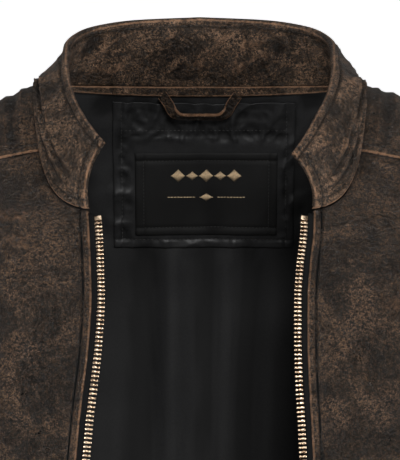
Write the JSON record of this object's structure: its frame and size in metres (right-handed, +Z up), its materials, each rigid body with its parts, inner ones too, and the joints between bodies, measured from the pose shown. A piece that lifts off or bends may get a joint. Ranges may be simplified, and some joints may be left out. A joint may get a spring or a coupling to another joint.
{
  "type": "riding jacket",
  "caption": "Leather riding jacket hanging open: stand collar, long sleeves, metal front zip, zipped hand pockets and cuffs, satin lining and a hanger loop.",
  "frame": {"origin": "centre of the hanger loop's level middle, on the face that bears on a hook", "axes": "+X towards the wearer's left, +Y towards the wearer's back, +Z up; the wearer faces -Y"},
  "size_m": [0.724, 0.2622, 0.7108],
  "materials": {
    "leather": "waxed cow hide, rubbed to copper brown along the seams and edges",
    "lining": "black satin",
    "label": "black stitched patch with a plain gold ornament",
    "zip_tape": "black woven cotton",
    "zip_metal": "antique light gold",
    "armour_foam": "matte foam",
    "interlining": "stiff felt"
  },
  "bodies": {
    "jacket": {"back_panel": "leather", "back_yoke": "leather", "lining_back": "lining", "lining_front_right": "lining", "front_facing_right": "leather", "lining_front_left": "lining", "front_facing_left": "leather", "hem_facing": "leather", "back_pad": "armour_foam", "sleeve_upper_right": "leather", "sleeve_under_right": "leather", "lining_sleeve_right": "lining", "cuff_facing_right": "leather", "shoulder_pad_right": "armour_foam", "elbow_pad_right": "armour_foam", "sleeve_upper_left": "leather", "sleeve_under_left": "leather", "lining_sleeve_left": "lining", "cuff_facing_left": "leather", "shoulder_pad_left": "armour_foam", "elbow_pad_left": "armour_foam", "collar_outer": "leather", "collar_interlining": "interlining", "collar_inner": "leather", "neck_binding": "leather", "hanger_loop": "leather", "neck_patch": "lining", "label": "label", "front_zip_tape_right": "zip_tape", "front_zip_chain_right": "zip_metal", "front_zip_top_stop_right": "zip_metal", "front_zip_tape_left": "zip_tape", "front_zip_chain_left": "zip_metal", "front_zip_top_stop_left": "zip_metal", "front_zip_box": "zip_metal", "front_zip_pin": "zip_metal", "front_right": "leather", "pocket_welt_right": "leather", "pocket_zip_right_tape": "zip_tape", "pocket_zip_right_chain": "zip_metal", "pocket_bag_right": "lining", "cuff_zip_right_tape": "zip_tape", "cuff_zip_right_chain": "zip_metal", "front_left": "leather", "pocket_welt_left": "leather", "pocket_zip_left_tape": "zip_tape", "pocket_zip_left_chain": "zip_metal", "pocket_bag_left": "lining", "cuff_zip_left_tape": "zip_tape", "cuff_zip_left_chain": "zip_metal"},
    "front_zip_slider": {"front_zip_slider": "zip_metal"},
    "front_zip_puller": {"front_zip_puller": "zip_metal"},
    "pocket_zip_right_slider": {"pocket_zip_right_slider": "zip_metal"},
    "pocket_zip_right_puller": {"pocket_zip_right_puller": "zip_metal"},
    "pocket_zip_left_slider": {"pocket_zip_left_slider": "zip_metal"},
    "pocket_zip_left_puller": {"pocket_zip_left_puller": "zip_metal"},
    "cuff_zip_right_slider": {"cuff_zip_right_slider": "zip_metal"},
    "cuff_zip_right_puller": {"cuff_zip_right_puller": "zip_metal"},
    "cuff_zip_left_slider": {"cuff_zip_left_slider": "zip_metal"},
    "cuff_zip_left_puller": {"cuff_zip_left_puller": "zip_metal"}
  },
  "joints": [
    {"name": "front_zip_slide", "type": "slide", "parent": "jacket", "child": "front_zip_slider", "axis": [0.0896, 0.01, 0.9959], "range_m": [0, 0.395]},
    {"name": "front_zip_puller_swing", "type": "hinge", "parent": "front_zip_slider", "child": "front_zip_puller", "pos_m": [-0.09963, -0.20454, -0.589], "axis": [-0.9802, 0.1783, 0.0864], "range_deg": [0, 165]},
    {"name": "pocket_zip_right_slide", "type": "slide", "parent": "jacket", "child": "pocket_zip_right_slider", "axis": [0.1829, -0.1272, 0.9749], "range_m": [-0.1336, 0.0036]},
    {"name": "pocket_zip_right_puller_swing", "type": "hinge", "parent": "pocket_zip_right_slider", "child": "pocket_zip_right_puller", "pos_m": [-0.16689, -0.17435, -0.40082], "axis": [-0.7159, 0.6623, 0.2208], "range_deg": [0, 165]},
    {"name": "pocket_zip_left_slide", "type": "slide", "parent": "jacket", "child": "pocket_zip_left_slider", "axis": [-0.1843, -0.1333, 0.9738], "range_m": [-0.1336, 0.0036]},
    {"name": "pocket_zip_left_puller_swing", "type": "hinge", "parent": "pocket_zip_left_slider", "child": "pocket_zip_left_puller", "pos_m": [0.16678, -0.17265, -0.40091], "axis": [-0.7224, -0.6534, -0.2262], "range_deg": [0, 165]},
    {"name": "cuff_zip_right_slide", "type": "slide", "parent": "jacket", "child": "cuff_zip_right_slider", "axis": [0.0327, 0.3215, 0.9463], "range_m": [-0.0036, 0.0813]},
    {"name": "cuff_zip_right_puller_swing", "type": "hinge", "parent": "cuff_zip_right_slider", "child": "cuff_zip_right_puller", "pos_m": [-0.30388, -0.06299, -0.62704], "axis": [0.8891, -0.4419, 0.1194], "range_deg": [-17.6, 147.4]},
    {"name": "cuff_zip_left_slide", "type": "slide", "parent": "jacket", "child": "cuff_zip_left_slider", "axis": [-0.0327, 0.3215, 0.9463], "range_m": [-0.0036, 0.0813]},
    {"name": "cuff_zip_left_puller_swing", "type": "hinge", "parent": "cuff_zip_left_slider", "child": "cuff_zip_left_puller", "pos_m": [0.30388, -0.06299, -0.62704], "axis": [0.8891, 0.4419, -0.1194], "range_deg": [-17.6, 147.4]}
  ]
}
